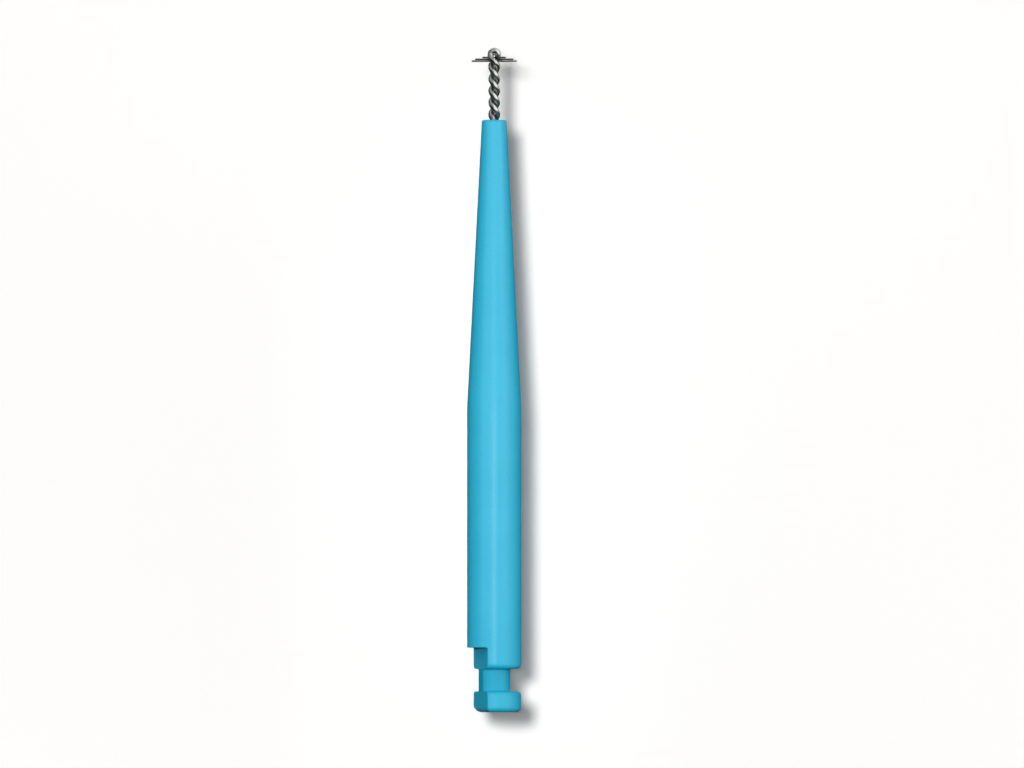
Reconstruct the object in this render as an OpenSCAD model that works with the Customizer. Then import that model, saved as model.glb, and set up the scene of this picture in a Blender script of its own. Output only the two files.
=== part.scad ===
// Rotary interdental brush on a latch-type shank. A hairpin of wire, twisted on itself, grips
// four stiff filaments at its fold and has its two legs moulded into a tapered plastic shank.
// Millimetres. +Z runs from the latch end to the brush, and the origin is the centre of the
// end face. The drive flat faces -X, turned a little towards -Y.

/* [Latch end] */
// Diameter of the parallel length of the shank
shank_d = 2.35; // [2.2:0.01:2.6]
// Height of the button below the latch groove
button_h = 0.9; // [0.7:0.01:1.1]
// How far the button's side lies inside the shank's
button_drop = 0.01; // [0.005:0.005:0.06]
// Diameter of the neck in the latch groove
neck_d = 1.38; // [1.1:0.01:1.6]
// Height of the latch groove
groove_h = 0.97; // [0.8:0.01:1.2]
// Thickness left between the drive flat and the round side
flat_thickness = 1.8; // [1.6:0.005:2]
// Height of the drive flat above the end face
flat_h = 2.79; // [2.5:0.01:3.6]
// Turn of the drive flat about the shank
flat_turn = 18; // [0:1:40]

/* [Tapered body] */
// Height of the shank, from the end face to the nose
shank_h = 25.65; // [23:0.05:30]
// Height where the taper starts
taper_z = 13.15; // [11:0.05:15]
// Diameter of the nose
nose_d = 1.07; // [0.95:0.01:1.3]
// Radius that blends the taper into the parallel length
taper_blend_r = 11; // [4:0.5:16]

/* [Rounded edges] */
// Rounding of the button's lower edge
foot_edge_r = 0.2; // [0.05:0.01:0.3]
// Rounding of the button's upper edge
rim_edge_r = 0.17; // [0.05:0.01:0.22]
// Rounding of the heel, below the far end of the drive flat
heel_edge_r = 0.36; // [0.2:0.01:0.5]
// Rounding of the edge above the groove
collar_edge_r = 0.2; // [0.05:0.01:0.3]
// Fillet where the neck meets the button and the body
root_r = 0.06; // [0.02:0.01:0.1]
// Rounding of the nose
nose_edge_r = 0.1; // [0.04:0.01:0.14]

/* [Twisted wire] */
// Diameter of the wire
wire_d = 0.25; // [0.2:0.005:0.27]
// Height of one full turn of the twist
twist_pitch = 1.015; // [0.95:0.005:1.4]
// Height above the nose where the twisted legs first lie side by side
lobe_h = 0.24; // [0.15:0.01:0.6]
// Turns of the twist from there to its last crossing, below the first filament
twist_turns = 2.25; // [1.25:0.25:3.25]
// Depth of the straight legs inside the shank
anchor_depth = 9; // [5:0.25:11]
// Rise of the fold at the wire's end, at its centre line
fold_rise = 0.185; // [0.17:0.005:0.24]
// Clear gap between the straight legs
leg_gap = 0.046; // [0.04:0.002:0.08]
// Clear gap between the twisted legs
twist_gap = 0.011; // [0.006:0.001:0.02]

/* [Filaments] */
// Number of filaments in the head
bristle_count = 4; // [1:1:4]
// Diameter of a filament
bristle_d = 0.075; // [0.05:0.005:0.08]
// Diameter of the head, across the filaments' ends
head_d = 1.96; // [1.4:0.02:3]
// Extra height of the last filament, which fills the eye of the fold
eye_lift = 0.043; // [0:0.001:0.045]

/* [Hidden] */
// Clearance of the wire in its bores, on the radius
bore_fit = 0.01;
// Clearance between filaments, and between a filament and the wire
bristle_fit = 0.003;
// Depth of the bores below the legs' ends
bore_end_gap = 0.05;
// How far below the nose's top face the twist starts
twist_sink = 0.02;
// How far a cut runs past the face that it opens
overrun = 0.5;

// Sides of the shank's round forms and of its edges' arcs
round_fn = 96;
arc_steps = 8;
// Sides of the wire and of a filament
wire_sides = 12;
bristle_sides = 8;
// Rings of the swept wire in one turn of the twist, and in the fold
turn_rings = 16;
fold_rings = 12;

// Shares of the pitch: where the twist eases in above the straight legs, where it dies out
// under the fold, how far the first filament lies above its crossing, and where the legs
// spread to make room for the filaments
ease_share = 0.15;
fade_share = 0.24;
lift_share = 0.015;
spread_share = 0.2;

shank_r = shank_d / 2;
button_r = shank_r - button_drop;
neck_r = neck_d / 2;
nose_r = nose_d / 2;
wire_r = wire_d / 2;
bristle_r = bristle_d / 2;
groove_top = button_h + groove_h;

// Distance of the drive flat from the axis, and half its width on the body
flat_offset = flat_thickness - shank_r;
flat_half = sqrt(pow(shank_r, 2) - pow(flat_offset, 2));
// Distance of the flat's far end from the axis, along -X
heel_x = flat_offset * cos(flat_turn) + flat_half * sin(flat_turn);

// Slope of the taper, and where the blend below it starts
taper_angle = atan((shank_r - nose_r) / (shank_h - taper_z));
blend_z = taper_z - taper_blend_r * tan(taper_angle / 2);

// Half the spacing of the legs: in the shank, in the twist and around the filaments
leg_r = (wire_d + leg_gap) / 2;
twist_r = (wire_d + twist_gap) / 2;
grip_r = wire_r + bristle_r + bristle_fit;

// Heights along the wire: the legs' ends, where the twist starts and where its legs first lie
// side by side, its last crossing, where it starts to die out and where the fold starts
leg_end_z = shank_h - anchor_depth;
ease_z = shank_h - twist_sink;
lobe_z = shank_h + lobe_h;
crossing_z = lobe_z + twist_turns * twist_pitch;
ease_h = ease_share * twist_pitch;
fade_h = fade_share * twist_pitch;
fade_z = crossing_z + twist_pitch / 4 - fade_h / 2;
spread_h = spread_share * twist_pitch;
spread_z = crossing_z - bristle_d - spread_h;
bristle_step = bristle_d + bristle_fit;
fold_z = stack_z(bristle_count) + bristle_r + bristle_fit;
// Angle of the straight legs about the axis
anchor_turn = 360 * (lobe_z - ease_z - ease_h / 2) / twist_pitch;

// Height of filament i, counted from the lowest: its place in the stack, and where it lies
function stack_z(i) = crossing_z + lift_share * twist_pitch + (i - 1) * bristle_step;
function bristle_z(i) = stack_z(i) + (i == bristle_count ? eye_lift : 0);

// Points of an arc about [x, z], from one angle to another
function arc(x, z, r, from, to) =
    [for (k = [0:arc_steps]) let (a = from + (to - from) * k / arc_steps)
        [x + r * cos(a), z + r * sin(a)]];

// Smooth step from 0 to 1 over a height that starts at a level
function step_up(z, level, height) =
    let (t = min(max((z - level) / height, 0), 1)) t * t * (3 - 2 * t);

// Height covered by a rate that rises evenly from 0 to 1
function ramp(z, level, height) =
    z < level ? 0 : z < level + height ? pow(z - level, 2) / (2 * height) : z - level - height / 2;

// Angle of the first leg about the axis. The twist is left-handed.
function leg_angle(z) =
    anchor_turn - 360 * (ramp(z, ease_z, ease_h) - ramp(z, fade_z, fade_h)) / twist_pitch;

// Distance of both legs from the axis
function leg_radius(z) =
    leg_r + (twist_r - leg_r) * step_up(z, ease_z, 2 * ease_h)
        + (grip_r - twist_r) * step_up(z, spread_z, spread_h);

function unit(v) = v / norm(v);

// Outline of the shank, from its axis at the end face to its axis at the nose
shank_outline = concat(
    [[0, 0]],
    arc(button_r - foot_edge_r, foot_edge_r, foot_edge_r, -90, 0),
    arc(button_r - rim_edge_r, button_h - rim_edge_r, rim_edge_r, 0, 90),
    arc(neck_r + root_r, button_h + root_r, root_r, 270, 180),
    arc(neck_r + root_r, groove_top - root_r, root_r, 180, 90),
    arc(shank_r - collar_edge_r, groove_top + collar_edge_r, collar_edge_r, -90, 0),
    arc(shank_r - taper_blend_r, blend_z, taper_blend_r, 0, taper_angle),
    arc(nose_r - nose_edge_r * (1 - sin(taper_angle)) / cos(taper_angle),
        shank_h - nose_edge_r, nose_edge_r, taper_angle, 90),
    [[0, shank_h]]
);

// Bar that rounds off the lower edge of a solid, where the edge lies along Y through the
// origin and the solid lies towards -X
module edge_rounder(r, length) {
    difference() {
        translate([-r, -length / 2, -overrun])
            cube([r + overrun, length, r + overrun]);
        translate([-r, 0, r]) rotate([90, 0, 0])
            cylinder(r = r, h = length + 2 * overrun, center = true, $fn = round_fn);
    }
}

// Flat on one side of the latch end, with a rounded lower edge
module drive_flat_cut() {
    width = shank_d + 2 * overrun;
    rotate([0, 0, 180 + flat_turn]) {
        translate([flat_offset, -width / 2, -overrun])
            cube([width / 2, width, flat_h + overrun]);
        translate([flat_offset, 0, 0]) edge_rounder(foot_edge_r, width);
    }
}

// Larger rounding below the flat's far end
module heel_cut() {
    rotate([0, 0, 180]) translate([heel_x, 0, 0]) edge_rounder(heel_edge_r, shank_d + 2 * overrun);
}

// Bores that hold the legs of the wire
module leg_bores() {
    depth = anchor_depth + bore_end_gap;
    for (side = [-1, 1])
        rotate([0, 0, anchor_turn]) translate([side * leg_r, 0, shank_h - depth])
            cylinder(r = wire_r + bore_fit, h = depth + overrun, $fn = round_fn);
}

// Moulded shank: button, latch groove, drive flat, parallel length and tapered nose
module shank() {
    color("#50c0e3")
    difference() {
        rotate_extrude($fn = round_fn) polygon(shank_outline);
        drive_flat_cut();
        heel_cut();
        leg_bores();
    }
}

// Heights of a leg's rings, from its end in the shank to the fold
twist_ring_count = ceil((fold_z - ease_z) / twist_pitch * turn_rings);
leg_heights = concat(
    [leg_end_z],
    [for (k = [0:twist_ring_count]) ease_z + (fold_z - ease_z) * k / twist_ring_count]
);
// Stations along the wire, each with its height and its signed share of the leg's radius
leg_stations = [for (z = leg_heights) [z, 1]];
fold_stations = [for (k = [1:fold_rings - 1]) let (a = 180 * k / fold_rings)
    [fold_z + fold_rise * sin(a), cos(a)]];
wire_stations = concat(
    leg_stations,
    fold_stations,
    [for (k = [len(leg_stations) - 1:-1:0]) [leg_stations[k][0], -1]]
);
wire_points = [for (s = wire_stations) let (a = leg_angle(s[0]), r = leg_radius(s[0]) * s[1])
    [r * cos(a), r * sin(a), s[0]]];

// Ring of points round the wire at station i, square to it
function wire_ring(i) =
    let (
        last = len(wire_points) - 1,
        along = unit(wire_points[min(i + 1, last)] - wire_points[max(i - 1, 0)]),
        a = leg_angle(wire_stations[i][0]),
        across = [-sin(a), cos(a), 0],
        side = unit(across - (across * along) * along),
        out = cross(side, along)
    )
    [for (k = [0:wire_sides - 1]) let (b = 360 * k / wire_sides)
        wire_points[i] + wire_r * (cos(b) * out + sin(b) * side)];

// Hairpin of wire: two straight legs, their twist, the spread round the filaments and the fold
module twisted_wire() {
    n = wire_sides;
    rings = len(wire_points);
    points = [for (i = [0:rings - 1]) each wire_ring(i)];
    walls = [for (i = [0:rings - 2]) for (k = [0:n - 1])
        let (a = i * n + k, b = i * n + (k + 1) % n)
            each [[a, b, b + n], [a, b + n, a + n]]];
    end_caps = [for (k = [1:n - 2])
        each [[0, k + 1, k], [(rings - 1) * n, (rings - 1) * n + k, (rings - 1) * n + k + 1]]];
    color("#8f918c")
    polyhedron(points = points, faces = concat(walls, end_caps));
}

// Straight filament, clamped across the axis between the legs
module bristle(i) {
    color("#5f615c")
    translate([0, 0, bristle_z(i)]) rotate([0, 0, leg_angle(bristle_z(i))]) rotate([90, 0, 0])
        cylinder(r = bristle_r, h = head_d, center = true, $fn = bristle_sides);
}

shank();
twisted_wire();
for (i = [1:bristle_count])
    bristle(i);
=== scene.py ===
"""A rotary interdental brush: latch-type shank, twisted wire and stiff filaments, in a white studio.

Each piece has an operator, and its sizes and colours are properties of the scene. The packed frame gives
the places that the pieces keep.
"""

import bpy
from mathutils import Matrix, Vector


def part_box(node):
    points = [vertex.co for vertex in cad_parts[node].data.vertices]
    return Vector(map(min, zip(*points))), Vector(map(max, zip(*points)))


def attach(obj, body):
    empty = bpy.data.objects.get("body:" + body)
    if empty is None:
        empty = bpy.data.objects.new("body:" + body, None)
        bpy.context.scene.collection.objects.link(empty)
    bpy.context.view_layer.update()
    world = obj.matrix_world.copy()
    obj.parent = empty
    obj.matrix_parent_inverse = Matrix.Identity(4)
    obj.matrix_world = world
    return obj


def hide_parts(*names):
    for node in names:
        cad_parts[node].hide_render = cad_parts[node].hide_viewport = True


bl_info = {
    "name": "Rotary Interdental Brush",
    "version": (1, 0, 0),
    "blender": (4, 5, 0),
    "location": "3D View > Sidebar > Brush",
    "description": "Builds a rotary interdental brush round its packed frame, with finishes and a studio",
    "category": "Add Mesh",
}

import math
from types import SimpleNamespace

import bmesh
import bpy
from bpy.props import FloatProperty, FloatVectorProperty, IntProperty, PointerProperty
from bpy.types import Operator, Panel, PropertyGroup
from mathutils import Matrix, Vector
from mathutils.kdtree import KDTree

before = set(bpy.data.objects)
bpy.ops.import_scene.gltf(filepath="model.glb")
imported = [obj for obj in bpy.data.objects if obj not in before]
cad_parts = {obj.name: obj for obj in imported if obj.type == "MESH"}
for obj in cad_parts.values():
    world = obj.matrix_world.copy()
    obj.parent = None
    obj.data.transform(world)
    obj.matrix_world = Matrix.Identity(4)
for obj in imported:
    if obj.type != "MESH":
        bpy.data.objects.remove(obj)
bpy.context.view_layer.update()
SHANK_LOW, SHANK_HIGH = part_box("shank")
WIRE_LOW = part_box("twisted_wire")[0]
BRISTLES = sorted(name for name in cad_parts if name.startswith("bristle_"))
FILAMENTS = {node: node.replace("bristle", "filament") for node in BRISTLES}

MM = 1000.0  # pieces are shaped in millimetres, because mesh operators round off at very small sizes

# Details of the shaping, in millimetres where nothing else is said

MERGE = 0.0004  # points closer than this become one
SHOULDER_ROWS = (0.015, 0.06, 0.2, 0.5)  # heights of the first rows over the shoulder
TAPER_EVEN = 0.99  # share of the taper's length where its even rows end
TAPER_LAST = 0.998  # share of the taper's length where its last row lies
NOSE_RIM = 0.01  # width of the ring of faces inside the nose's edge
FLAT_FACING = 0.3  # cosine of the angle to the flat's direction, under which nothing is pressed
FLAT_EASE = 0.08  # distance over which the flat's edges come in beside the neck
FLAT_CORNER = 0.035  # width of the soft corner between the flat and the round walls
BORE_SIDES = 32  # faces round a bore
EDGE_FULL = 6.0  # curvature of a fully marked edge, in radians per millimetre
EDGE_NARROW = 0.01  # least width that a curvature is measured over
EDGE_NEAR = 0.08  # how far the edge mark spreads in one smoothing pass
EDGE_PASSES = 3  # smoothing passes
LEG_FOOT = 0.02  # from a leg's end to its next ring
LEG_TOP = 0.4  # length of a leg under the twist that has closer rings
GROOVE_GAP = 0.015  # gap between strands up to which their groove is fully marked
GROOVE_FADE = 0.13  # growth of the gap over which the mark fades
FOLD_BELOW = 0.1  # how far under the fold the mark starts to fade
FOLD_FADE = 0.12  # height over which it fades there
FILAMENT_RINGS = (-0.5, -0.25, -0.12, 0.0, 0.12, 0.25, 0.5)  # places of the rings along a filament
SHARP = math.radians(50)  # angle over which an edge is shaded sharp

# Degrees turned and faces made in each part of the shank's spin, finest where the drive flat's edges run
SPINS = ((119, 56), (11, 22), (20, 10), (8, 16), (44, 14), (8, 16), (20, 10), (11, 22), (119, 56))

# Texture scales, in features per metre

PLASTIC_GRAIN = 16000.0
PLASTIC_DRIFT = 420.0
PLASTIC_WEAR = 5200.0
STEEL_GRAIN = 60000.0
STEEL_DRIFT = 3800.0
PAPER_GRAIN = 900.0
PAPER_DRIFT = 30.0

# Spacing of the nodes in the shader editor

NODE_COLUMN = 220
NODE_ROW = 240

# Details of the finishes, in metres or as shares

NOISE_RANGE = (0.3, 0.7)  # the part of a noise texture's values that is used
GRAIN_DEPTH = 0.0000012  # depth of the moulded grain
PLASTIC_ROUGH = (0.27, 0.33)  # range of the plastic's roughness
PLASTIC_IOR = 1.48
WEAR_EDGE = (0.15, 0.9)  # range of the edge mark over which wear comes in
WEAR_PATCHES = (0.35, 0.75, 0.25, 1.0)  # the patches' noise range, and how much wear they let through
WEAR_AMOUNT = 0.3  # strength of the wear on the shank's edges
WEAR_ROUGH = 0.3  # roughness that full wear adds
BUTTON_DULL_AND_SHADE = 0.33  # share of the groove's dullness and painted shade that the button has
DULL_ROUGH = 0.2  # roughness that the groove's duller finish adds
NOSE_SHADE_RADII = (0.00025, 0.00048)  # from the axis to where the painted shade starts to fade, and to where it ends
NOSE_SHADE_AMOUNT = 0.9  # strength of the painted shade at the wire
TOP_MARGIN = 0.000005  # depth under the nose's top that still counts as its top
LINE_DEPTH = 0.000002  # depth of the lines in drawn wire
LINE_ROUGH = 0.12  # roughness that those lines add
LINE_STRETCH = 14.0  # how many times longer than wide the lines are
STREAK_TONE = 0.72  # brightness of the darker streaks in drawn wire
SHADE_LEAST = 0.7  # share of the painted shade where it is weakest
SHADE_ROUGH = 0.3  # roughness that the painted shade's mask adds
GROOVE_SHADE = (0.4, 1.0, 0.0, 0.8)  # the groove mark's range, and the painted shade that it gives
ROOT_SHADE = 0.75  # painted shade on the wire at the nose's top
ROOT_HEIGHT = 0.0003  # height over which that painted shade fades
GRIP_REACH = (0.25, 0.5)  # distances in millimetres from a filament's middle over which its painted shade fades
PAPER_TONE = 0.985  # brightness of the paper's darker patches

# Lamps: azimuth and elevation from the brush, and how wide the lamp looks, in degrees
LAMPS = {
    "key": (-4.3, 4.0, 4.9),
    "back": (172.0, 12.0, 20.0),
    "fill": (-0.9, 0.4, 2.4),
    "left": (-80.0, 40.0, 60.0),
    "right": (80.0, 20.0, 60.0),
}

# Cards: azimuth and elevation in degrees, width and height in metres, and strength

# Those that light the metal alone
METAL_CARDS = {
    "high_card": (74.0, 42.0, 0.3, 0.156, 1.7),
    "mid_card": (18.0, 30.0, 0.2, 0.056, 1.4),
    "far_card": (86.0, 12.0, 0.13, 0.16, 1.6),
    "low_card": (27.0, -24.0, 0.28, 0.09, 0.75),
    "dim_card": (-60.0, 52.0, 0.4, 0.24, 0.5),
}

# The dark card behind the others, and the bright strip in front that draws the shank's highlight
SURROUND = (0.0, 0.0, 1.3, 0.9, 0.06)
FRONT_STRIP = (0.3, -1.6, 0.066, 0.027, 6.4)

# Cards on both sides of the camera: their azimuths, and each one's elevation, width, height and strength
SIDE_AZIMUTHS = (12.0, 36.0, 60.0)
SIDE_CARD = (6.0, 0.104, 0.15, 1.7)

CARD_DISTANCE = 0.24
SURROUND_DISTANCE = 0.28
STRIP_DISTANCE = 0.2
CAMERA_DISTANCE = 0.2
FLAG_GAP = 0.0004  # between the upright flags and the paper behind the brush
FLAG_STRENGTH = 0.03


# Properties


def length(name, default, description, least=0.0):
    """A length in metres, and the least that it may be."""
    return FloatProperty(
        name=name, description=description, default=default, min=least, precision=6, unit="LENGTH"
    )


def turned(name, degrees, description, **limits):
    """An angle, with its default in degrees."""
    return FloatProperty(
        name=name, description=description, default=math.radians(degrees), subtype="ANGLE",
        unit="ROTATION", **limits,
    )


def light_level(name, default, description):
    """An amount of light, where 1 makes a white surface white in the picture."""
    return FloatProperty(name=name, description=description, default=default, min=0.0)


def count(name, default, description, **limits):
    """A whole number within its limits."""
    return IntProperty(name=name, description=description, default=default, **limits)


def colour(name, default, description):
    """A colour in linear light."""
    return FloatVectorProperty(
        name=name, description=description, default=default, size=3, min=0.0, max=1.0, subtype="COLOR"
    )


class ShankSizes(PropertyGroup):
    """Sizes of the moulded shank."""

    diameter: length("Shank diameter", SHANK_HIGH.y - SHANK_LOW.y, "Diameter of the parallel length")
    height: length("Shank height", SHANK_HIGH.z, "From the end face to the top of the nose")
    button_diameter: length("Button diameter", 0.00233, "Diameter of the button under the latch groove")
    button_height: length("Button height", 0.0009, "Height of the button")
    neck_diameter: length("Neck diameter", 0.00138, "Diameter inside the latch groove")
    groove_top: length("Groove top", 0.00187, "Height of the latch groove's upper face")
    flat_offset: length("Flat offset", 0.000625, "From the axis to the drive flat")
    flat_height: length("Flat height", 0.00279, "Height of the shoulder over the drive flat")
    flat_turn: turned("Flat turn", 198, "Direction that the drive flat faces, from +X")
    blend_start: length("Taper start", 0.012869, "Height where the rounding between body and taper starts")
    blend_radius: length("Taper rounding", 0.011, "Radius of the rounding between body and taper")
    taper: turned("Taper angle", 2.931, "Angle of the taper's side to the axis", min=0.0)
    nose_radius: length("Nose radius", 0.000535, "Radius of the taper where it would meet the top face")
    foot_edge: length("Foot edge", 0.0002, "Rounding of the button's lower edge")
    rim_edge: length("Rim edge", 0.00017, "Rounding of the button's upper edge")
    collar_edge: length("Collar edge", 0.0002, "Rounding of the body's edge over the groove")
    root_radius: length("Neck root", 0.00006, "Rounding where the neck meets its two faces")
    nose_edge: length("Nose edge", 0.0001, "Rounding of the nose's top edge")
    flat_edge: length("Flat edge", 0.000035, "Rounding of the drive flat's edges")
    shoulder_edge: length("Shoulder edge", 0.00004, "Rounding of the shoulder over the drive flat")
    heel_radius: length("Heel rounding", 0.00036, "Rounding of the button's heel beside the flat")
    heel_reach: length("Heel reach", 0.0009019, "From the axis to the side where the heel rounding ends")
    bore_radius: length("Bore radius", 0.000135, "Radius of the two bores that hold the wire's legs")
    bore_end: length("Bore end", 0.0166, "Height of the bores' lower ends")


class WireSizes(PropertyGroup):
    """Sizes of the twisted wire."""

    diameter: length("Wire diameter", 0.00025, "Diameter of the wire")
    leg_end: length("Leg end", WIRE_LOW.z, "Height of the legs' lower ends inside the shank")
    pitch: length("Twist pitch", 0.001015, "Height of one full turn of the twist")
    anchor_turn: turned("Anchor turn", 65.2167, "Angle of the straight legs about the axis")
    ease_start: length("Twist start", 0.02563, "Height where the twist starts")
    ease_height: length("Twist easing", 0.00015225, "Height over which the twist comes in")
    fade_start: length("Twist fade", 0.0283057, "Height where the twist starts to fade")
    fade_height: length("Fade height", 0.0002436, "Height over which the twist fades")
    fold_start: length("Fold start", 0.028463475, "Height where the fold at the tip starts")
    fold_rise: length("Fold rise", 0.000185, "Height of the fold's centreline")
    leg_radius: length("Leg radius", 0.000148, "From the axis to a straight leg's centreline")
    twist_radius: length("Twist radius", 0.0001305, "From the axis to a twisted leg's centreline")
    grip_radius: length("Grip radius", 0.0001655, "From the axis to a leg's centreline at the filaments")
    spread_start: length("Spread start", 0.02789575, "Height where the legs start to spread")
    spread_height: length("Spread height", 0.000203, "Height over which the legs spread")
    sides: count("Wire sides", 28, "Faces round the wire", min=8, max=64)
    turn_rings: count("Rings per turn", 72, "Rings of faces in one turn", min=12)
    fold_rings: count("Fold rings", 28, "Rings of faces in the fold", min=8)


class BristleSizes(PropertyGroup):
    """Sizes of the filaments."""

    diameter: length("Filament diameter", 0.000075, "Diameter of one filament")
    head_diameter: length("Head diameter", 0.00196, "Length of a filament, tip to tip")
    tip_edge: length("Tip edge", 0.000014, "Rounding of a filament's cut ends")
    sides: count("Filament sides", 24, "Faces round a filament", min=8, max=64)


class BrushFinishes(PropertyGroup):
    """Colours of the materials."""

    plastic: colour("Plastic", (0.028, 0.485, 0.715), "Moulded plastic of the shank")
    plastic_deep: colour("Plastic, deep", (0.024, 0.46, 0.69), "Deeper tone where the moulding flowed")
    # Painted shade: the latch groove's darker tone stands in for the shade under the body and over the
    # button
    plastic_dull: colour("Plastic, dull", (0.0, 0.37, 0.56), "Duller tone of the latch groove")
    # Painted shade: the darker ring on the nose's top round the wire stands in for shade where the wire
    # enters
    plastic_stain: colour("Plastic, stained", (0.01, 0.12, 0.17), "Stained top of the nose round the wire")
    plastic_worn: colour("Plastic, worn", (0.09, 0.54, 0.74), "Paler tone of rubbed edges")
    steel: colour("Wire steel", (0.61, 0.64, 0.605), "Drawn stainless steel of the wire")
    # Painted shade: the darker colour between the wire's strands and near the nose stands in for their
    # shade
    steel_dark: colour("Wire grooves", (0.1, 0.11, 0.1), "Drawing residue between the wire's strands")
    filament: colour("Filament steel", (0.31, 0.313, 0.287), "Fine drawn wire of the filaments")
    # Painted shade: the darker colour of the filaments where the wire grips them stands in for their shade
    filament_dark: colour("Filament roots", (0.075, 0.078, 0.07), "Filaments near the grip of the wire")


class StudioSettings(PropertyGroup):
    """Camera, lamps and surroundings."""

    view_x: length("View centre X", 0.0007686, "Sideways place of the view's centre", least=-1.0)
    view_z: length("View centre Z", 0.014207, "Height of the view's centre")
    view_width: length("View width", 0.0443392, "Width that the camera sees")
    paper_distance: length("Paper distance", 0.008, "From the brush's axis to the paper behind it")
    key: light_level("Key light", 0.74, "Light on a surface that faces the key lamp")
    back: light_level("Back light", 0.85, "Light on a surface that faces the back lamp")
    fill: light_level("Fill light", 0.11, "Light on a surface that faces the fill lamp")
    left: light_level("Left light", 0.31, "Light on a surface that faces the left lamp")
    right: light_level("Right light", 0.43, "Light on a surface that faces the right lamp")
    ambient: light_level("Ambient light", 0.02, "Light from all round")
    paper: colour("Paper", (0.985, 0.97, 0.955), "Floor and backdrop")


def in_millimetres(group):
    """A property group's values by name, with its lengths in millimetres."""
    found = {}
    for prop in group.bl_rna.properties:
        if prop.identifier not in ("rna_type", "name"):
            value = getattr(group, prop.identifier)
            found[prop.identifier] = value * MM if getattr(prop, "unit", "NONE") == "LENGTH" else value
    return SimpleNamespace(**found)


# Shaping


def eased(share):
    """0 below 0, 1 above 1, and a smooth step between."""
    share = min(max(share, 0.0), 1.0)
    return share * share * (3 - 2 * share)


def arc(across, up, radius, start, end, steps):
    """Points of an arc in a turned outline, round (across, up), from start to end in degrees."""
    turns = [math.radians(start + (end - start) * i / steps) for i in range(steps + 1)]
    return [(across + radius * math.cos(turn), up + radius * math.sin(turn)) for turn in turns]


def spaced(start, end, steps):
    """Evenly spaced values after start, up to and with end."""
    return [start + (end - start) * i / steps for i in range(1, steps + 1)]


def shank_rows(shank):
    """The shank's turned outline, from the end face's centre to the nose.

    A row is (radius, height, kind, share). The kind says how the drive flat is pressed in there, and the
    share how far round the shoulder's edge the row lies.
    """
    button, body, neck = shank.button_diameter / 2, shank.diameter / 2, shank.neck_diameter / 2
    foot, rim, collar, root = shank.foot_edge, shank.rim_edge, shank.collar_edge, shank.root_radius
    button_top, groove_top = shank.button_height, shank.groove_top
    rows = [(0.0, 0.0, "level", 0)]

    def level(height, start, end, steps):
        rows.extend((radius, height, "level", 0) for radius in spaced(start, end, steps))

    def wall(radius, start, end, steps, kind="wall"):
        rows.extend((radius, height, kind, 0) for height in spaced(start, end, steps))

    def rounding(across, up, radius, start, end, steps, kind="wall"):
        rows.extend((*point, kind, 0) for point in arc(across, up, radius, start, end, steps)[1:])

    level(0.0, 0.0, button - foot, steps=20)
    rounding(button - foot, foot, foot, -90, 0, steps=10)
    wall(button, foot, button_top - rim, steps=14)
    rounding(button - rim, button_top - rim, rim, 0, 90, steps=12)
    level(button_top, button - rim, neck + root, steps=6)
    rounding(neck + root, button_top + root, root, 270, 180, steps=6)
    wall(neck, button_top + root, groove_top - root, steps=10)
    rounding(neck + root, groove_top - root, root, 180, 90, steps=6)
    level(groove_top, neck + root, body - collar, steps=6)
    rounding(body - collar, groove_top + collar, collar, -90, 0, steps=10)
    wall(body, groove_top + collar, shank.flat_height - shank.shoulder_edge, steps=12)
    rows.extend((body, shank.flat_height, "corner", share) for share in spaced(0.0, 1.0, 6))
    rows.extend((body, shank.flat_height, "shoulder", share) for share in (0.0, *spaced(0.0, 1.0, 6)))
    over = shank.flat_height + shank.shoulder_edge
    rows.extend((body, over + height, "plain", 0) for height in SHOULDER_ROWS)
    wall(body, over + SHOULDER_ROWS[-1], shank.blend_start, steps=12, kind="plain")
    slope, blend = math.degrees(shank.taper), shank.blend_radius
    rounding(body - blend, shank.blend_start, blend, 0, slope, steps=10, kind="plain")
    nose_in = shank.nose_radius - shank.nose_edge * (1 - math.sin(shank.taper)) / math.cos(shank.taper)
    nose = arc(nose_in, shank.height - shank.nose_edge, shank.nose_edge, slope, 90, steps=10)
    taper_foot, taper_top = rows[-1][:2], nose[0]
    for share in (*spaced(0.0, TAPER_EVEN, 14), TAPER_LAST):
        radius, height = (low + (high - low) * share for low, high in zip(taper_foot, taper_top))
        rows.append((radius, height, "plain", 0))
    rows.extend((*point, "plain", 0) for point in nose)
    rows.append((nose[-1][0] - NOSE_RIM, shank.height, "plain", 0))
    return rows


def rounded_off(depth, radius):
    """How far an edge's rounding stands back at a depth inside it, counted from where it starts."""
    depth = min(max(depth, 0.0), radius)
    return radius - math.sqrt(radius**2 - depth**2)


def flat_setback(shank, height, reach):
    """How far the drive flat's rounded edges stand back from its plane.

    It depends on the height, and beside the neck on the reach, the distance from the axis.
    """
    back = rounded_off(shank.foot_edge - height, shank.foot_edge)
    edge = shank.flat_edge * eased((reach - shank.neck_diameter / 2 - shank.root_radius) / FLAT_EASE)
    if height <= shank.button_height + MERGE:
        back = max(back, rounded_off(height - (shank.button_height - edge), edge))
    if height >= shank.groove_top - MERGE:
        back = max(back, rounded_off(shank.groove_top + edge - height, edge))
    return back


def soft_lower(a, b, width):
    """The lower of two values, with the corner between them rounded."""
    gap = max(width - abs(a - b), 0.0) / width
    return min(a, b) - gap * gap * width / 4


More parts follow.
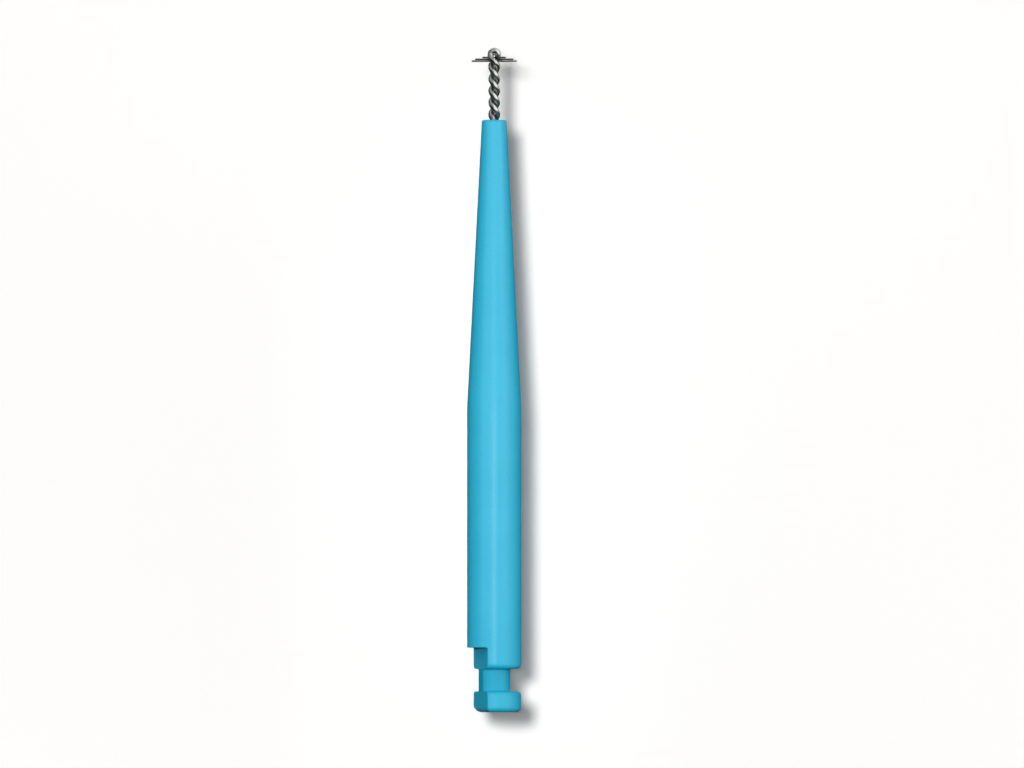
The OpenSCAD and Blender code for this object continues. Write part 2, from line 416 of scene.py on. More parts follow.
def press_flat(bm, shank, rows, row_of):
    """Presses the drive flat and its shoulder into the turned shank, along lines to the axis."""
    body_radius = shank.diameter / 2
    for vert in bm.verts:
        radius, height, kind, share = rows[vert[row_of]]
        turn = math.atan2(vert.co.y, vert.co.x) - shank.flat_turn
        facing = math.cos(turn)
        if kind == "plain" or facing < FLAT_FACING:
            continue
        reach = shank.flat_offset / facing
        out = Vector((math.cos(turn + shank.flat_turn), math.sin(turn + shank.flat_turn), 0.0))
        quarter = math.radians(90 * share)
        begun, left = 1 - math.cos(quarter), 1 - math.sin(quarter)
        if kind == "corner":
            radius = min(radius, (shank.flat_offset + shank.shoulder_edge * begun) / facing)
            height = shank.flat_height - shank.shoulder_edge * left
        elif kind == "shoulder":
            room = max(body_radius - (shank.flat_offset + shank.shoulder_edge) / facing, 0.0)
            edge = min(shank.shoulder_edge, room / 2)
            radius = body_radius - edge * left
            height = shank.flat_height + edge * begun
        else:
            reach = (shank.flat_offset - flat_setback(shank, height, reach)) / facing
            radius = min(radius, reach) if kind == "level" else soft_lower(radius, reach, FLAT_CORNER)
        vert.co = out * radius + Vector((0.0, 0.0, height))


def press_heel(bm, shank):
    """Rounds the button's heel beside the flat, about an axis along Y."""
    centre_x, centre_z = shank.heel_radius - shank.heel_reach, shank.heel_radius
    for vert in bm.verts:
        across, down = vert.co.x - centre_x, vert.co.z - centre_z
        far = math.hypot(across, down)
        if across < 0 and down < 0 and far > shank.heel_radius:
            vert.co.x = centre_x + across * shank.heel_radius / far
            vert.co.z = centre_z + down * shank.heel_radius / far


def close_nose(bm, shank, centre):
    """Closes the nose's top face, with a blind bore at the centre given and one opposite to it."""
    rim = [e for e in bm.edges if e.is_boundary]
    mouths = []
    for x, y in (centre, -centre):
        place = Matrix.Translation((x, y, shank.height))
        ring = bmesh.ops.create_circle(bm, segments=BORE_SIDES, radius=shank.bore_radius, matrix=place)
        mouths.append(list(dict.fromkeys(e for vert in ring["verts"] for e in vert.link_edges)))
    bmesh.ops.triangle_fill(bm, use_beauty=True, edges=rim + [e for mouth in mouths for e in mouth])
    for mouth in mouths:
        wall = bmesh.ops.extrude_edge_only(bm, edges=mouth)["geom"]
        verts = [g for g in wall if isinstance(g, bmesh.types.BMVert)]
        bmesh.ops.translate(bm, vec=(0, 0, shank.bore_end - shank.height), verts=verts)
        end = [g for g in wall if isinstance(g, bmesh.types.BMEdge) and g.is_boundary]
        bmesh.ops.contextual_create(bm, geom=end)


def mark_edges(bm):
    """Stores on each vertex, from 0 to 1, how sharply the surface turns outwards there."""
    mark = bm.verts.layers.float.new("edge")
    bm.normal_update()
    for edge in bm.edges:
        if len(edge.link_faces) == 2 and edge.calc_length() > MERGE:
            width = sum(f.calc_area() for f in edge.link_faces) / (2 * edge.calc_length())
            bend = edge.calc_face_angle_signed(0.0) / max(width, EDGE_NARROW)
            for vert in edge.verts:
                vert[mark] = max(vert[mark], min(max(bend / EDGE_FULL, 0.0), 1.0))
    for _ in range(EDGE_PASSES):
        found = {}
        for vert in bm.verts:
            near = [e.other_vert(vert)[mark] for e in vert.link_edges if e.calc_length() < EDGE_NEAR]
            found[vert] = (2 * vert[mark] + sum(near)) / (2 + len(near))
        for vert, value in found.items():
            vert[mark] = value


def shank_mesh(shank, bore):
    """The moulded shank: a turned outline, the pressed flat and heel, and the bores for the wire."""
    bm = bmesh.new()
    row_of = bm.verts.layers.int.new("row")
    rows = shank_rows(shank)
    start = shank.flat_turn + math.pi
    verts = []
    for i, (radius, height, _, _) in enumerate(rows):
        vert = bm.verts.new((radius * math.cos(start), radius * math.sin(start), height))
        vert[row_of] = i
        verts.append(vert)
    last = verts + [bm.edges.new(pair) for pair in zip(verts, verts[1:])]
    for degrees, steps in SPINS:
        last = bmesh.ops.spin(
            bm, geom=last, cent=(0, 0, 0), axis=(0, 0, 1), dvec=(0, 0, 0), angle=math.radians(degrees),
            space=Matrix.Identity(4), steps=steps, use_merge=False, use_normal_flip=False,
            use_duplicate=False,
        )["geom_last"]
    press_flat(bm, shank, rows, row_of)
    press_heel(bm, shank)
    bmesh.ops.remove_doubles(bm, verts=bm.verts, dist=MERGE)
    bmesh.ops.dissolve_degenerate(bm, edges=bm.edges, dist=MERGE / 4)
    bm.verts.layers.int.remove(bm.verts.layers.int["row"])
    close_nose(bm, shank, bore)
    mark_edges(bm)
    return bm


def climbed(z, level, height):
    """Height climbed past a level, eased in over a height."""
    if z < level:
        return 0.0
    return (z - level) ** 2 / (2 * height) if z < level + height else z - level - height / 2


def leg_angle(wire, z):
    """Direction of the first leg from the axis, in radians. The twist is left-handed."""
    height = climbed(z, wire.ease_start, wire.ease_height) - climbed(z, wire.fade_start, wire.fade_height)
    return wire.anchor_turn - 2 * math.pi * height / wire.pitch


def leg_distance(wire, z):
    """Distance from the axis to a leg's centreline."""
    twist = eased((z - wire.ease_start) / (2 * wire.ease_height))
    spread = eased((z - wire.spread_start) / wire.spread_height)
    twisted = wire.leg_radius + (wire.twist_radius - wire.leg_radius) * twist
    return twisted + (wire.grip_radius - wire.twist_radius) * spread


def wire_stations(wire):
    """The wire's stations, up one leg and down the other.

    A station is (height, share of the leg's distance from the axis).
    """
    foot, top = wire.leg_end + LEG_FOOT, wire.ease_start - LEG_TOP
    leg = [wire.leg_end, foot, *spaced(foot, top, 8), *spaced(top, wire.ease_start, 6)]
    turns = (wire.fold_start - wire.ease_start) / wire.pitch
    leg += spaced(wire.ease_start, wire.fold_start, round(turns * wire.turn_rings))
    fold = [math.pi * i / wire.fold_rings for i in range(1, wire.fold_rings)]
    return (
        [(z, 1.0) for z in leg]
        + [(wire.fold_start + wire.fold_rise * math.sin(turn), math.cos(turn)) for turn in fold]
        + [(z, -1.0) for z in reversed(leg)]
    )


def wire_frames(wire, stations):
    """A matrix for each station: X and Y across the wire, Z along it, and its place."""
    points = []
    for z, part in stations:
        angle, radius = leg_angle(wire, z), leg_distance(wire, z) * part
        points.append(Vector((radius * math.cos(angle), radius * math.sin(angle), z)))
    frames = []
    for i, (z, _) in enumerate(stations):
        along = (points[min(i + 1, len(points) - 1)] - points[max(i - 1, 0)]).normalized()
        angle = leg_angle(wire, z)
        across = Vector((-math.sin(angle), math.cos(angle), 0.0))
        side = (across - across.dot(along) * along).normalized()
        axes = Matrix((side, along.cross(side), along)).transposed().to_4x4()
        frames.append(Matrix.Translation(points[i]) @ axes)
    return frames


def mark_grooves(wire, stations, frames, rings, groove):
    """Stores on each vertex of the wire how close the other strand is, from 0 to 1."""
    half = len(frames) // 2
    trees = []
    for part in (range(half), range(half, len(frames))):
        tree = KDTree(len(part))
        for i in part:
            tree.insert(frames[i].translation, i)
        tree.balance()
        trees.append(tree)
    for i, verts in enumerate(rings):
        other = trees[0 if i >= half else 1]
        share = 1 - eased((stations[i][0] - wire.fold_start + FOLD_BELOW) / FOLD_FADE)
        for vert in verts:
            gap = other.find(vert.co)[2] - wire.diameter / 2
            vert[groove] = share * (1 - eased((gap - GROOVE_GAP) / GROOVE_FADE))


def wire_mesh(wire):
    """The wire: a ring of edges that is drawn along the stations."""
    bm = bmesh.new()
    drawn = bm.verts.layers.float_vector.new("drawn")
    groove = bm.verts.layers.float.new("groove")
    stations = wire_stations(wire)
    frames = wire_frames(wire, stations)
    radius = wire.diameter / 2
    first = bmesh.ops.create_circle(bm, cap_ends=True, segments=wire.sides, radius=radius)["verts"]
    for vert in first:
        vert[drawn] = (vert.co.x, vert.co.y, 0.0)
    bmesh.ops.transform(bm, matrix=frames[0], verts=first)
    ring = list(bm.edges)
    rings = [first]
    travelled = 0.0
    for before, after in zip(frames, frames[1:]):
        made = bmesh.ops.extrude_edge_only(bm, edges=ring)["geom"]
        verts = [g for g in made if isinstance(g, bmesh.types.BMVert)]
        ring = [g for g in made if isinstance(g, bmesh.types.BMEdge) and all(v in verts for v in g.verts)]
        bmesh.ops.transform(bm, matrix=after @ before.inverted(), verts=verts)
        travelled += (after.translation - before.translation).length
        for vert in verts:
            vert[drawn] = (vert[drawn][0], vert[drawn][1], travelled)
        rings.append(verts)
    bmesh.ops.contextual_create(bm, geom=ring)
    mark_grooves(wire, stations, frames, rings, groove)
    return bm


def filament_mesh(filament, height, angle):
    """One straight filament with softly rounded cut ends, lying across the axis at a height."""
    bm = bmesh.new()
    drawn = bm.verts.layers.float_vector.new("drawn")
    radius, across = filament.diameter / 2, filament.head_diameter
    bmesh.ops.create_cone(
        bm, cap_ends=True, segments=filament.sides, radius1=radius, radius2=radius, depth=across
    )
    ends = [e for e in bm.edges if abs(e.verts[0].co.z - e.verts[1].co.z) < MERGE]
    bmesh.ops.bevel(
        bm, geom=ends, offset=filament.tip_edge, offset_type="OFFSET", affect="EDGES", segments=3,
        profile=0.5, material=-1,
    )
    for z in FILAMENT_RINGS:
        everything = bm.verts[:] + bm.edges[:] + bm.faces[:]
        bmesh.ops.bisect_plane(bm, geom=everything, dist=MERGE, plane_co=(0, 0, z), plane_no=(0, 0, 1))
    for vert in bm.verts:
        vert[drawn] = vert.co
    bmesh.ops.rotate(bm, cent=(0, 0, 0), matrix=Matrix.Rotation(-math.pi / 2, 3, "X"), verts=bm.verts)
    bmesh.ops.rotate(bm, cent=(0, 0, 0), matrix=Matrix.Rotation(angle, 3, "Z"), verts=bm.verts)
    bmesh.ops.translate(bm, vec=(0, 0, height), verts=bm.verts)
    return bm


def mesh_object(name, bm, material):
    """Makes a shaped mesh, in metres, an object of the scene with its material."""
    mesh = bpy.data.meshes.new(name)
    bm.to_mesh(mesh)
    bm.free()
    mesh.materials.append(material)
    made = bpy.data.objects.new(name, mesh)
    bpy.context.scene.collection.objects.link(made)
    return made


def finish_piece(name, bm, material, node):
    """Makes a shaped piece an object in metres that rides on the frame and stands for its CAD node."""
    bmesh.ops.scale(bm, vec=(1 / MM, 1 / MM, 1 / MM), verts=bm.verts)
    bmesh.ops.recalc_face_normals(bm, faces=bm.faces)
    piece = mesh_object(name, bm, material)
    piece.data.shade_smooth()
    piece.data.set_sharp_from_angle(angle=SHARP)
    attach(piece, "root")
    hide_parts(node)


# Materials


def put(tree, kind, place, **settings):
    """Adds a node at a column and row of the tree, with its settings."""
    node = tree.nodes.new(kind)
    node.location = (place[0] * NODE_COLUMN, -place[1] * NODE_ROW)
    for name, value in settings.items():
        setattr(node, name, value)
    return node


def feed(tree, socket, value):
    """Joins a socket to another one, or sets its value."""
    if isinstance(value, bpy.types.NodeSocket):
        tree.links.new(value, socket)
    else:
        socket.default_value = value


def feed_all(tree, node, values):
    """Feeds a node's inputs by their names."""
    for name, value in values.items():
        feed(tree, node.inputs[name], value)


def opaque(tone, share=1.0):
    """A colour's share of brightness, as a socket takes it."""
    return (*(share * part for part in tone), 1.0)


def maths(tree, place, operation, first, second=0.0, third=0.0):
    """A Math node's result."""
    node = put(tree, "ShaderNodeMath", place, operation=operation)
    for socket, value in zip(node.inputs, (first, second, third)):
        feed(tree, socket, value)
    return node.outputs[0]


def stretched(tree, place, value, low, high, to_low, to_high):
    """A value mapped smoothly from one range to another, and kept in it."""
    node = put(tree, "ShaderNodeMapRange", place, interpolation_type="SMOOTHSTEP")
    ranges = {"From Min": low, "From Max": high, "To Min": to_low, "To Max": to_high}
    feed_all(tree, node, {"Value": value, **ranges})
    return node.outputs["Result"]


def mixed(tree, place, factor, first, second):
    """Two colours mixed by a factor."""
    node = put(tree, "ShaderNodeMix", place, data_type="RGBA")
    factor_socket, first_colour, second_colour = node.inputs[0], node.inputs[6], node.inputs[7]
    feed(tree, factor_socket, factor)
    feed(tree, first_colour, first)
    feed(tree, second_colour, second)
    return node.outputs[2]


def noise(tree, place, vector, scale, detail, roughness):
    """A noise texture's value."""
    node = put(tree, "ShaderNodeTexNoise", place)
    feed_all(tree, node, {"Vector": vector, "Scale": scale, "Detail": detail, "Roughness": roughness})
    return node.outputs[0]


def bumped(tree, place, height, distance):
    """A normal bumped by a height, at full strength."""
    node = put(tree, "ShaderNodeBump", place)
    feed_all(tree, node, {"Height": height, "Distance": distance, "Strength": 1.0})
    return node.outputs[0]


def separated(tree, place, vector):
    """A vector's X, Y and Z."""
    node = put(tree, "ShaderNodeSeparateXYZ", place)
    feed(tree, node.inputs[0], vector)
    return node.outputs


def object_place(tree, place):
    """The place of a surface point in Object coordinates."""
    return put(tree, "ShaderNodeTexCoord", place).outputs["Object"]


def attribute(tree, place, name, output):
    """An attribute of the piece's own mesh."""
    return put(tree, "ShaderNodeAttribute", place, attribute_name=name).outputs[output]


def group_tree(name, vector, inputs, outputs):
    """A new shader node group with a vector and numbers going in, and numbers coming out."""
    tree = bpy.data.node_groups.new(name, "ShaderNodeTree")
    tree.interface.new_socket(name=vector, in_out="INPUT", socket_type="NodeSocketVector")
    for label in inputs:
        tree.interface.new_socket(name=label, in_out="INPUT", socket_type="NodeSocketFloat")
    for label in outputs:
        tree.interface.new_socket(name=label, in_out="OUTPUT", socket_type="NodeSocketFloat")
    start, end = put(tree, "NodeGroupInput", (0, 0)), put(tree, "NodeGroupOutput", (6, 0))
    return tree, start.outputs, end.inputs


def use_group(tree, name, place, **values):
    """A shared group placed in a material, with its values."""
    node = put(tree, "ShaderNodeGroup", place, node_tree=bpy.data.node_groups[name])
    feed_all(tree, node, {label.replace("_", " "): value for label, value in values.items()})
    return node.outputs


def surface_grain_group():
    """Fine moulded or etched grain, and a broad drift of tone."""
    scales = ["Fine scale", "Broad scale"]
    tree, start, end = group_tree("surface_grain", "Vector", scales, ["Height", "Tone"])
    fine = noise(tree, (2, 0), start["Vector"], start["Fine scale"], detail=3.0, roughness=0.6)
    broad = noise(tree, (2, 1), start["Vector"], start["Broad scale"], detail=2.0, roughness=0.5)
    feed(tree, end["Height"], fine)
    feed(tree, end["Tone"], stretched(tree, (4, 1), broad, *NOISE_RANGE, 0.0, 1.0))


def edge_wear_group():
    """Rubbed edges: an edge mask broken up by noise."""
    tree, start, end = group_tree("edge_wear", "Vector", ["Edge", "Scale", "Amount"], ["Wear"])
    patches = noise(tree, (1, 1), start["Vector"], start["Scale"], detail=3.0, roughness=0.6)
    broken = stretched(tree, (2, 1), patches, *WEAR_PATCHES)
    mask = stretched(tree, (2, 0), start["Edge"], *WEAR_EDGE, 0.0, 1.0)
    worn = maths(tree, (3, 0), "MULTIPLY", mask, broken)
    feed(tree, end["Wear"], maths(tree, (4, 0), "MULTIPLY", worn, start["Amount"]))


def drawing_marks_group():
    """Fine lines that the drawing die leaves along a wire."""
    tree, start, end = group_tree("drawing_marks", "Drawn", ["Scale", "Stretch"], ["Height", "Tone"])
    parts = separated(tree, (1, 0), start["Drawn"])
    joined = put(tree, "ShaderNodeCombineXYZ", (2, 0))
    feed(tree, joined.inputs[0], parts[0])
    feed(tree, joined.inputs[1], parts[1])
    feed(tree, joined.inputs[2], maths(tree, (1, 1), "DIVIDE", parts[2], start["Stretch"]))
    lines = noise(tree, (3, 0), joined.outputs[0], start["Scale"], detail=3.0, roughness=0.65)
    feed(tree, end["Height"], lines)
    feed(tree, end["Tone"], stretched(tree, (4, 1), lines, *NOISE_RANGE, 0.0, 1.0))


def bare_material(name):
    """A material and its empty node tree."""
    material = bpy.data.materials.new(name)
    material.use_nodes = True
    material.node_tree.nodes.clear()
    return material, material.node_tree


def new_material(name):
    """A material with a Principled shader, its node tree and that shader."""
    material, tree = bare_material(name)
    shader = put(tree, "ShaderNodeBsdfPrincipled", (8, 0))
    output = put(tree, "ShaderNodeOutputMaterial", (10, 0))
    tree.links.new(shader.outputs[0], output.inputs[0])
    return material, tree, shader


def dull_and_shade_mask(tree, height, low, high):
    """1 in the latch groove, between two heights, and less on the button under it: a duller finish there,
    and painted shade in its colour.
    """
    above = maths(tree, (3, 4), "GREATER_THAN", height, low)
    below = maths(tree, (3, 5), "LESS_THAN", height, high)
    share = maths(tree, (4, 4), "MULTIPLY_ADD", above, 1 - BUTTON_DULL_AND_SHADE, BUTTON_DULL_AND_SHADE)
    return maths(tree, (5, 4), "MULTIPLY", below, share)


def nose_shade_mask(tree, where, height, nose):
    """Painted shade on the nose's top, strongest at the wire."""
    flat = put(tree, "ShaderNodeVectorMath", (2, 6), operation="MULTIPLY")
    feed(tree, flat.inputs[0], where)
    feed(tree, flat.inputs[1], (1, 1, 0))
    from_axis = put(tree, "ShaderNodeVectorMath", (3, 6), operation="LENGTH")
    feed(tree, from_axis.inputs[0], flat.outputs[0])
    top = maths(tree, (3, 7), "GREATER_THAN", height, nose - TOP_MARGIN)
    fading = stretched(tree, (4, 6), from_axis.outputs["Value"], *NOSE_SHADE_RADII, NOSE_SHADE_AMOUNT, 0.0)
    return maths(tree, (5, 6), "MULTIPLY", top, fading)


def moulded_plastic(finishes, low, high, nose):
    """Light blue moulded plastic: mould grain, a faint drift of tone, rubbed edges.

    It is duller in the groove from low to high and a little duller on the button, where its colour is also
    darker as painted shade, and painted shade darkens the nose's top round the wire.
    """
    material, tree, shader = new_material("moulded_plastic")
    where = object_place(tree, (0, 0))
    grain = use_group(
        tree, "surface_grain", (2, 0), Vector=where, Fine_scale=PLASTIC_GRAIN, Broad_scale=PLASTIC_DRIFT
    )
    edge = attribute(tree, (0, 2), "edge", "Fac")
    wear = use_group(
        tree, "edge_wear", (2, 2), Vector=where, Edge=edge, Scale=PLASTIC_WEAR, Amount=WEAR_AMOUNT
    )["Wear"]
    height = separated(tree, (2, 4), where)[2]
    dull_and_shade = dull_and_shade_mask(tree, height, low, high)
    nose_shade = nose_shade_mask(tree, where, height, nose)
    base = mixed(tree, (4, 0), grain["Tone"], opaque(finishes.plastic_deep), opaque(finishes.plastic))
    base = mixed(tree, (5, 0), wear, base, opaque(finishes.plastic_worn))
    # Painted shade: the groove, and less so the button, get a darker colour
    base = mixed(tree, (6, 0), dull_and_shade, base, opaque(finishes.plastic_dull))
    # Painted shade: the nose's top darkens round the wire
    base = mixed(tree, (7, 0), nose_shade, base, opaque(finishes.plastic_stain))
    rough = stretched(tree, (4, 1), grain["Height"], *NOISE_RANGE, *PLASTIC_ROUGH)
    rough = maths(tree, (5, 1), "ADD", rough, maths(tree, (4, 2), "MULTIPLY", wear, WEAR_ROUGH))
    feed(tree, shader.inputs["Base Color"], base)
    feed(tree, shader.inputs["Roughness"], maths(tree, (6, 1), "MULTIPLY_ADD", dull_and_shade, DULL_ROUGH, rough))
    feed(tree, shader.inputs["Normal"], bumped(tree, (6, 2), grain["Height"], GRAIN_DEPTH))
    shader.inputs["IOR"].default_value = PLASTIC_IOR
    return material


def drawn_steel(name, tone, dark, dark_mask, rough, lines):
    """Drawn steel wire: lines from the die, counted per millimetre, and painted shade, darker and rougher,
    where the mask is.
    """
    material, tree, shader = new_material(name)
    drawn = attribute(tree, (0, 0), "drawn", "Vector")
    marks = use_group(tree, "drawing_marks", (2, 0), Drawn=drawn, Scale=lines, Stretch=LINE_STRETCH)
    where = object_place(tree, (0, 2))
    grain = use_group(
        tree, "surface_grain", (2, 2), Vector=where, Fine_scale=STEEL_GRAIN, Broad_scale=STEEL_DRIFT
    )
    streaked = mixed(tree, (4, 0), marks["Tone"], opaque(tone, STREAK_TONE), opaque(tone))
    patchy = maths(tree, (4, 2), "MULTIPLY_ADD", grain["Tone"], 1 - SHADE_LEAST, SHADE_LEAST)
    painted_shade = maths(tree, (5, 2), "MULTIPLY", dark_mask(tree), patchy)
    lined = stretched(tree, (4, 1), marks["Height"], *NOISE_RANGE, rough, rough + LINE_ROUGH)
    # Painted shade: the mask darkens the colour towards the dark tone
    feed(tree, shader.inputs["Base Color"], mixed(tree, (6, 0), painted_shade, streaked, opaque(dark)))
    duller = maths(tree, (6, 1), "MULTIPLY_ADD", painted_shade, SHADE_ROUGH, lined)
    feed(tree, shader.inputs["Roughness"], duller)
    feed(tree, shader.inputs["Normal"], bumped(tree, (6, 2), marks["Height"], LINE_DEPTH))
    shader.inputs["Metallic"].default_value = 1.0
    return material


def groove_shade_mask(tree):
    """Painted shade: dark where the other strand is close, and near the plastic."""
    near = stretched(tree, (3, 3), attribute(tree, (0, 3), "groove", "Fac"), *GROOVE_SHADE)
    height = separated(tree, (1, 4), object_place(tree, (0, 4)))[2]
    nose = bpy.context.scene.brush_shank.height
    root = stretched(tree, (3, 4), height, nose, nose + ROOT_HEIGHT, ROOT_SHADE, 0.0)
    return maths(tree, (4, 3), "MAXIMUM", near, root)


def grip_shade_mask(tree):
    """Painted shade: dark towards the middle of a filament, where the wire grips it."""
    along = separated(tree, (1, 3), attribute(tree, (0, 3), "drawn", "Vector"))[2]
    return stretched(tree, (3, 3), maths(tree, (2, 3), "ABSOLUTE", along), *GRIP_REACH, 1.0, 0.0)


def seen_rays(tree, row):
    """1 for rays from the camera, from mirrors and through glass, and 0 for others."""
    path = put(tree, "ShaderNodeLightPath", (0, row)).outputs
    seen = maths(tree, (1, row), "MAXIMUM", path["Is Camera Ray"], path["Is Glossy Ray"])
    return maths(tree, (2, row), "MAXIMUM", seen, path["Is Transmission Ray"])


def studio_paper(name, tint, lift):
    """Pale studio paper, seen from its front only. Camera and mirror rays see it lifted to white."""
    material, tree = bare_material(name)
    where = object_place(tree, (0, 0))
    grain = use_group(
        tree, "surface_grain", (1, 0), Vector=where, Fine_scale=PAPER_GRAIN, Broad_scale=PAPER_DRIFT
    )
    diffuse = put(tree, "ShaderNodeBsdfDiffuse", (3, 0))
    tone = mixed(tree, (2, 0), grain["Tone"], opaque(tint, PAPER_TONE), opaque(tint))
    feed(tree, diffuse.inputs[0], tone)
    glow = put(tree, "ShaderNodeEmission", (3, 2))
    feed(tree, glow.inputs[1], maths(tree, (3, 3), "MULTIPLY", seen_rays(tree, 2), lift))
    both = put(tree, "ShaderNodeAddShader", (4, 1))
    tree.links.new(diffuse.outputs[0], both.inputs[0])
    tree.links.new(glow.outputs[0], both.inputs[1])
    front = put(tree, "ShaderNodeMixShader", (5, 1))
    behind = put(tree, "ShaderNodeNewGeometry", (3, 4)).outputs["Backfacing"]
    clear = put(tree, "ShaderNodeBsdfTransparent", (4, 3)).outputs[0]
    for socket, value in zip(front.inputs, (behind, both.outputs[0], clear)):
        feed(tree, socket, value)
    tree.links.new(front.outputs[0], put(tree, "ShaderNodeOutputMaterial", (6, 1)).inputs[0])
    return material


def card_material(name, strength):
    """An even light or dark card."""
    material, tree = bare_material(name)
    glow = put(tree, "ShaderNodeEmission", (0, 0))
    glow.inputs[1].default_value = strength
    tree.links.new(glow.outputs[0], put(tree, "ShaderNodeOutputMaterial", (1, 0)).inputs[0])
    return material


# Studio


def stage_sheet(name, width, height, matrix, material):
    """A flat sheet of the studio, in metres, facing along its matrix's Z."""
    bm = bmesh.new()
    bmesh.ops.create_grid(bm, x_segments=1, y_segments=1, size=0.5)
    bmesh.ops.scale(bm, vec=(width, height, 1), verts=bm.verts)
    bmesh.ops.transform(bm, matrix=matrix, verts=bm.verts)
    sheet = mesh_object(name, bm, material)
    return sheet


def mirrored_sheet(name, width, height, matrix, strength):
    """A sheet of even light that only mirror rays see."""
    sheet = stage_sheet(name, width, height, matrix, card_material(name, strength))
    sheet.visible_camera = sheet.visible_diffuse = sheet.visible_shadow = False
    return sheet


def towards(azimuth, elevation):
    """Direction from the brush at an azimuth to the right of the camera and an elevation, in degrees."""
    turn, rise = math.radians(azimuth), math.radians(elevation)
    flat = math.cos(rise)
    return Vector((math.sin(turn) * flat, -math.cos(turn) * flat, math.sin(rise)))


def card(name, azimuth, elevation, width, height, strength, middle, lit=None, away=CARD_DISTANCE):
    """A card that only mirror rays see, facing the brush. It may light one collection's pieces only."""
    direction = towards(azimuth, elevation)
    facing = direction.to_track_quat("Z", "Y").to_matrix().to_4x4()
    matrix = Matrix.Translation(middle + direction * away) @ facing
    sheet = mirrored_sheet(name, width, height, matrix, strength)
    if lit is not None:
        sheet.light_linking.receiver_collection = lit


def flag(name, start, end, bottom, top, strength=FLAG_STRENGTH):
    """An upright card that only mirror rays see, between two points of the floor plan."""
    first, last = (Vector((*point, (bottom + top) / 2)) for point in (start, end))
    along, up = (last - first).normalized(), Vector((0, 0, 1))
    facing = Matrix((along, up, along.cross(up))).transposed().to_4x4()
    matrix = Matrix.Translation((first + last) / 2) @ facing
    mirrored_sheet(name, (last - first).length, top - bottom, matrix, strength)


def soft_sun(name, azimuth, elevation, light, spread):
    """A soft lamp that lights a facing surface by the given amount, and that mirror rays don't see."""
    lamp = bpy.data.lights.new(name, "SUN")
    lamp.energy = light * math.pi
    lamp.angle = math.radians(spread)
    sun = bpy.data.objects.new(name, lamp)
    sun.rotation_euler = towards(azimuth, elevation).to_track_quat("Z", "Y").to_euler()
    sun.visible_glossy = False
    bpy.context.scene.collection.objects.link(sun)


def studio_camera(scene, settings):
    """A parallel camera at the photograph's angle and frame."""
    camera = bpy.data.cameras.new("camera")
    camera.type = "ORTHO"
    camera.ortho_scale = settings.view_width
    camera.clip_start, camera.clip_end = 0.001, 10.0
    viewer = bpy.data.objects.new("camera", camera)
    viewer.location = (settings.view_x, -CAMERA_DISTANCE, settings.view_z)
    viewer.rotation_euler = (math.pi / 2, 0.0, 0.0)
    scene.collection.objects.link(viewer)
    scene.camera = viewer


def studio_world(ambient):
    """Plain ambient light. Camera and mirror rays see white."""
    world = bpy.data.worlds.new("studio")
    bpy.context.scene.world = world
    world.use_nodes = True
    tree = world.node_tree
    tree.nodes.clear()
    glow = put(tree, "ShaderNodeBackground", (4, 0))
    strength = maths(tree, (3, 0), "MULTIPLY_ADD", seen_rays(tree, 0), 1 - ambient, ambient)
    feed(tree, glow.inputs[1], strength)
    tree.links.new(glow.outputs[0], put(tree, "ShaderNodeOutputWorld", (5, 0)).inputs[0])


def studio_sheets(settings):
    """The paper behind the brush, the floor, and a dark base that mirror rays see under it."""
    paper = studio_paper("backdrop_paper", settings.paper, lift=0.02)
    behind = Matrix.Translation((0.0, settings.paper_distance, 0.02))
    upright = behind @ Matrix.Rotation(math.pi / 2, 4, "X")
    backdrop = stage_sheet("backdrop", width=0.5, height=0.3, matrix=upright, material=paper)
    backdrop.visible_diffuse = backdrop.visible_shadow = False
    paper = studio_paper("floor_paper", settings.paper, lift=0.4)
    floor = stage_sheet("floor", width=0.5, height=0.5, matrix=Matrix.Identity(4), material=paper)
    floor.visible_diffuse = floor.visible_shadow = floor.visible_glossy = False
    below = Matrix.Translation((0.0, 0.0, -0.0001))
    mirrored_sheet("dark_base", width=0.1, height=0.1, matrix=below, strength=0.04)


def card_receivers(name, pieces):
    """A collection of the pieces that a card lights."""
    collection = bpy.data.collections.new(name)
    for piece in pieces:
        collection.objects.link(bpy.data.objects[piece])
    return collection


def studio_cards(middle, plastic, metal):
    """Cards round the brush: a dark surround, a bright strip, side cards, and the metal's own."""
    card("dark_surround", *SURROUND, middle, away=SURROUND_DISTANCE)
    card("front_strip", *FRONT_STRIP, middle, plastic, away=STRIP_DISTANCE)
    for azimuth in SIDE_AZIMUTHS:
        card("right_card_%d" % azimuth, azimuth, *SIDE_CARD, middle)
        card("left_card_%d" % azimuth, -azimuth, *SIDE_CARD, middle, plastic)
    for name, values in METAL_CARDS.items():
        card(name, *values, middle, metal)


def studio_flags(nose, back_y):
    """Upright cards beside the brush: two dark ones, and two dim ones for the wire over the nose."""
    flag("left_flag", (-0.0024, back_y), (-0.06, -0.04), bottom=-0.03, top=0.036)
    flag("right_flag", (0.0024, back_y), (0.06, -0.04), bottom=-0.03, top=nose)
    flag("left_glow", (-0.0022, 0.0066), (-0.0055, 0.001), bottom=nose, top=0.034, strength=0.1)
    flag("right_glow", (0.0024, back_y), (0.06, 0.003), bottom=nose, top=0.045, strength=0.4)


# Operators and panel


class BRUSH_OT_effects(Operator):
    """Build the shared node groups that the materials use"""

    bl_idname = "brush.effects"
    bl_label = "Shared Effects"

    def execute(self, context):
        surface_grain_group()
        edge_wear_group()
        drawing_marks_group()
        return {"FINISHED"}


